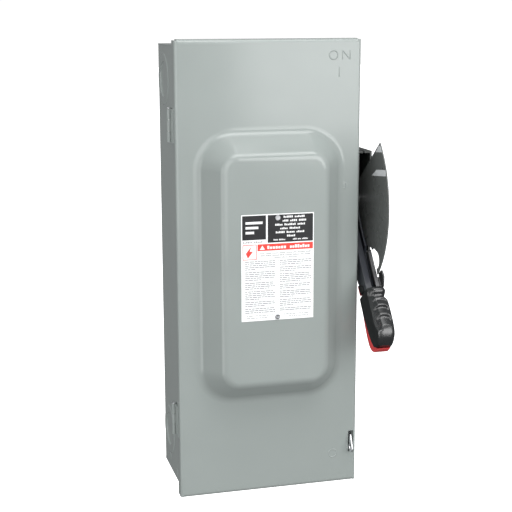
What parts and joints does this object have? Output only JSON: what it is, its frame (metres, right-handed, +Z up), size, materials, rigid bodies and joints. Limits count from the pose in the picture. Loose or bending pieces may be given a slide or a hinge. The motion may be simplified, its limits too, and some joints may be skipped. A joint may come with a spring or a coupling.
{
  "type": "ac disconnect box",
  "caption": "Tall grey wall-mounted safety switch box with a pressed, labelled door hinged on the left, a side handle with a red-backed black grip, and a fused blade switch inside.",
  "frame": {"origin": "centre of the four wall holes, on the back face of the box", "axes": "+Z up, +Y into the wall, the door faces -Y, the handle is on the +X side"},
  "size_m": [0.2598, 0.1798, 0.54],
  "materials": {
    "enclosure_paint": "smooth grey powder coat",
    "bright_zinc": "bright zinc plate",
    "yellow_zinc": "yellow passivated zinc",
    "spring_wire": "oiled spring wire",
    "base_polyester": "moulded glass polyester",
    "rotor_phenolic": "moulded phenolic",
    "copper": "bare copper",
    "aluminium": "tin plated",
    "green_screw": "green",
    "chute_fibre": "dark vulcanised fibre",
    "clear_shield": "clear polycarbonate",
    "fuse_body": "wound paper tube",
    "black_housing": "moulded black",
    "black_arm": "satin black",
    "grey_arm": "satin dark grey",
    "black_grip": "glossy black",
    "red_grip": "satin red",
    "pale_film": "pale film",
    "label_film": "printed film",
    "paper": "printed paper"
  },
  "bodies": {
    "box": {"box_wrapper": "enclosure_paint", "end_wall_top": "enclosure_paint", "end_wall_bottom": "enclosure_paint", "hinge_leaves_box": "enclosure_paint", "hinge_pins": "bright_zinc", "latch_bracket": "bright_zinc", "latch_pin": "bright_zinc", "latch_spring": "spring_wire", "mounting_pan": "bright_zinc", "line_base": "base_polyester", "fuse_base": "base_polyester", "load_base": "base_polyester", "line_lugs": "aluminium", "line_lug_screws": "bright_zinc", "line_jaws": "copper", "arc_chutes": "chute_fibre", "line_shield": "clear_shield", "hinge_contacts": "copper", "fuse_clips_upper": "copper", "fuse_clips_lower": "copper", "fuse_bodies": "fuse_body", "fuse_blades": "copper", "load_lugs": "aluminium", "load_lug_screws": "bright_zinc", "base_screws": "bright_zinc", "ground_bar": "aluminium", "ground_screws": "green_screw", "mechanism_frame": "bright_zinc", "frame_screws": "bright_zinc", "spring_post": "bright_zinc", "handle_housing": "black_housing", "housing_screws": "bright_zinc", "shaft_bushing": "black_housing", "dial_plate": "grey_arm", "dial_strips": "pale_film"},
    "door": {"door": "enclosure_paint", "hinge_leaves_door": "enclosure_paint", "interlock_hook": "bright_zinc", "label_plate": "label_film", "label_rivets": "bright_zinc", "wiring_sheet": "paper"},
    "handle": {"handle_shaft": "bright_zinc", "arm_inner": "black_arm", "arm_outer": "grey_arm", "grip_front": "black_grip", "grip_back": "red_grip", "grip_screws": "bright_zinc", "lock_plate": "grey_arm", "shaft_nut": "bright_zinc", "crank": "bright_zinc", "interlock_cam": "yellow_zinc"},
    "link": {"drive_link": "bright_zinc"},
    "spring": {"toggle_spring": "spring_wire"},
    "rotor": {"crossbar": "rotor_phenolic", "blades": "copper", "rotor_lever": "bright_zinc"},
    "latch": {"latch_loop": "bright_zinc"}
  },
  "joints": [
    {"name": "door_hinge", "type": "hinge", "parent": "box", "child": "door", "pos_m": [-0.1122, -0.0865, 0], "axis": [0, 0, -1], "range_deg": [0, 150]},
    {"name": "handle_swing", "type": "hinge", "parent": "box", "child": "handle", "pos_m": [0.088, -0.047, 0.07], "axis": [-1, 0, 0], "range_deg": [0, 102]},
    {"name": "link_pivot", "type": "hinge", "parent": "handle", "child": "link", "pos_m": [0.096, -0.06099, 0.08133], "axis": [-1, 0, 0], "range_deg": [-102, 0]},
    {"name": "rotor_turn", "type": "hinge", "parent": "box", "child": "rotor", "pos_m": [0, -0.047, 0.13], "axis": [-1, 0, 0], "range_deg": [0, 102]},
    {"name": "spring_swing", "type": "hinge", "parent": "box", "child": "spring", "pos_m": [0.0815, -0.047, 0.01], "axis": [-1, 0, 0], "range_deg": [0, 22.2], "deforming": ["toggle_spring"]},
    {"name": "latch_turn", "type": "hinge", "parent": "box", "child": "latch", "pos_m": [0.1021, -0.08, -0.222], "axis": [-1, 0, 0], "range_deg": [0, 7], "stiffness_Nm_per_rad": 0.2, "springref_deg": -8.59}
  ],
  "couplings": [
    {"joint": "link_pivot", "follows": "handle_swing", "ratio": -1},
    {"joint": "rotor_turn", "follows": "handle_swing", "ratio": 1},
    {"joint": "spring_swing", "follows": "handle_swing", "ratio": 0.21757}
  ]
}
